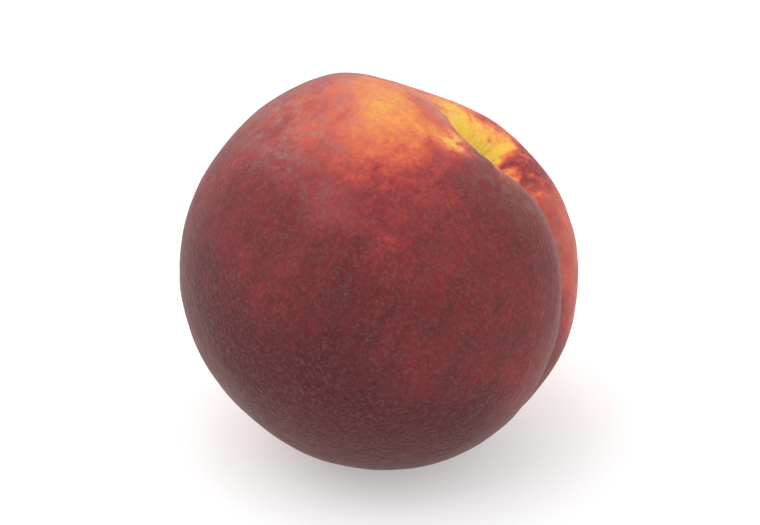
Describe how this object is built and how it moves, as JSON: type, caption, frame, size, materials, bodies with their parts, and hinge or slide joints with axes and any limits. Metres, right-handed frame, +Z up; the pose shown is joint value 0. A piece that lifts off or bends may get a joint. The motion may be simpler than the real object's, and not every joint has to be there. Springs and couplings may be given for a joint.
{
  "type": "peach",
  "caption": "Whole ripe peach with a deep stem cavity, a suture between unequal cheeks and a small blossom tip, lying leaned over on a flat spot.",
  "frame": {"origin": "on the table, under the middle of the fruit's box, in the flat spot that it rests on", "axes": "+Z up from the table; the stem axis leans 38 degrees from +Z, towards +X and a little to +Y; the suture runs down from the stem cavity towards +X and -Y"},
  "size_m": [0.0758, 0.0764, 0.0743],
  "materials": {
    "peach_skin": "velvety fuzz over matte skin, dark red blush over yellow-orange ground"
  },
  "bodies": {
    "root": {"peach": "peach_skin"}
  },
  "joints": []
}
